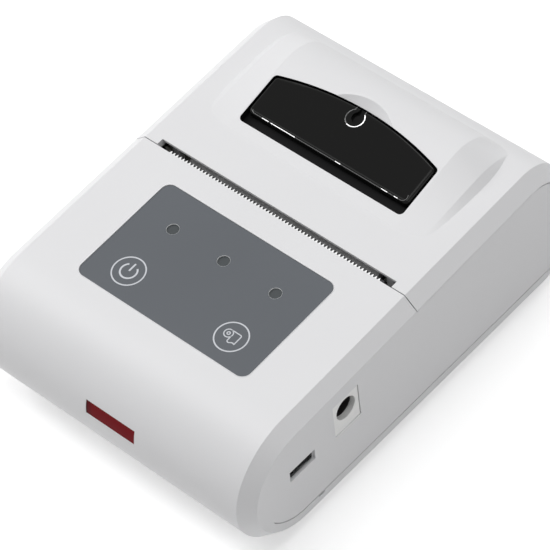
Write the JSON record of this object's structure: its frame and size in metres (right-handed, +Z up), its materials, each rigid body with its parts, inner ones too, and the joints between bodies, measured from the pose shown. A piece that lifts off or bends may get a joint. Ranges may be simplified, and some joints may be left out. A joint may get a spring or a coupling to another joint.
{
  "type": "portable receipt printer",
  "caption": "Pocket receipt printer with a hinged paper cover, release lever, gear-driven platen, serrated tear bar, control panel and battery bay.",
  "frame": {"origin": "on the resting surface, under the middle of the closed printer", "axes": "+X to the right seen from the front, towards the sockets; +Y from the rounded nose to the hinge; +Z up"},
  "size_m": [0.0818, 0.1079, 0.0426],
  "materials": {
    "case_white": "fine satin",
    "panel_grey": "smooth film",
    "lever_black": "polished",
    "lining_black": "satin",
    "key_grey": "satin",
    "light_clear": "dark translucent",
    "window_red": "translucent",
    "socket_black": "satin",
    "socket_white": "satin",
    "frame_black": "satin",
    "bin_black": "satin",
    "gear_white": "satin",
    "roller_rubber": "ground",
    "foot_rubber": "matt",
    "steel": "ground",
    "bright_steel": "bright",
    "aluminium": "anodised",
    "ceramic": "glazed",
    "board_green": "solder mask",
    "chip_black": "moulded",
    "battery_wrap": "wrapped",
    "brass": "plated",
    "cable_white": "flat cable",
    "tear_steel": "white coated"
  },
  "bodies": {
    "case": {"top_case": "case_white", "bottom_case": "case_white", "rubber_feet": "foot_rubber", "case_screws": "steel", "tear_bar": "tear_steel", "control_panel": "panel_grey", "left_light": "light_clear", "middle_light": "light_clear", "right_light": "light_clear", "key_board": "board_green", "tact_switches": "chip_black", "indicator_chips": "ceramic", "key_ribbon": "cable_white", "main_board": "board_green", "controller_chip": "chip_black", "storage_capacitor": "aluminium", "dc_jack": "socket_white", "jack_pin": "steel", "usb_socket": "bright_steel", "usb_tongue": "socket_black", "ir_window": "window_red", "ir_transceiver": "chip_black", "battery_pack": "battery_wrap", "battery_contacts": "brass", "mechanism_frame": "frame_black", "mechanism_screws": "steel", "stepper_motor": "bright_steel", "idler_axle": "steel", "paper_bin": "bin_black", "paper_sensor": "chip_black"},
    "cover": {"paper_cover": "case_white", "hinge_pins": "steel", "window_lining": "lining_black", "lever_pins": "steel", "platen_bushes": "gear_white"},
    "lever": {"release_lever": "lever_black"},
    "platen": {"platen_shaft": "steel", "platen_rubber": "roller_rubber", "platen_gear": "gear_white"},
    "idler": {"idler_gear": "gear_white"},
    "pinion": {"motor_pinion": "brass", "motor_shaft": "steel"},
    "head": {"print_head": "ceramic", "head_heatsink": "aluminium", "head_springs": "steel"},
    "power_button": {"power_key": "key_grey"},
    "feed_button": {"feed_key": "key_grey"},
    "door": {"battery_door": "case_white"}
  },
  "joints": [
    {"name": "cover_hinge", "type": "hinge", "parent": "case", "child": "cover", "pos_m": [0, 0.05135, 0.0257], "axis": [-1, 0, 0], "range_deg": [0, 82]},
    {"name": "lever_pivot", "type": "hinge", "parent": "cover", "child": "lever", "pos_m": [0, 0.02323, 0.03632], "axis": [1, 0, 0], "range_deg": [0, 16], "stiffness_Nm_per_rad": 0.004, "springref_deg": -20.05},
    {"name": "platen_spin", "type": "hinge", "parent": "cover", "child": "platen", "pos_m": [0, 0.00885, 0.0293], "axis": [1, 0, 0], "continuous": true},
    {"name": "idler_spin", "type": "hinge", "parent": "case", "child": "idler", "pos_m": [0, 0.00796, 0.01874], "axis": [1, 0, 0], "continuous": true},
    {"name": "pinion_spin", "type": "hinge", "parent": "case", "child": "pinion", "pos_m": [0, 0.00556, 0.00944], "axis": [1, 0, 0], "continuous": true},
    {"name": "head_tilt", "type": "hinge", "parent": "case", "child": "head", "pos_m": [0, 0.00165, 0.0203], "axis": [-1, 0, 0], "range_deg": [-1.2, 0], "stiffness_Nm_per_rad": 0.5, "springref_deg": 3.44},
    {"name": "power_press", "type": "slide", "parent": "case", "child": "power_button", "axis": [0, 0.0499, -0.9988], "range_m": [0, 0.0003], "stiffness_N_per_m": 800, "springref_m": -0.0004},
    {"name": "feed_press", "type": "slide", "parent": "case", "child": "feed_button", "axis": [0, 0.0499, -0.9988], "range_m": [0, 0.0003], "stiffness_N_per_m": 800, "springref_m": -0.0004},
    {"name": "door_swing", "type": "hinge", "parent": "case", "child": "door", "pos_m": [0, -0.03435, 0.0013], "axis": [-1, 0, 0], "range_deg": [0, 60]}
  ],
  "couplings": [
    {"joint": "idler_spin", "follows": "platen_spin", "ratio": -0.75},
    {"joint": "pinion_spin", "follows": "platen_spin", "ratio": 1.2857}
  ]
}
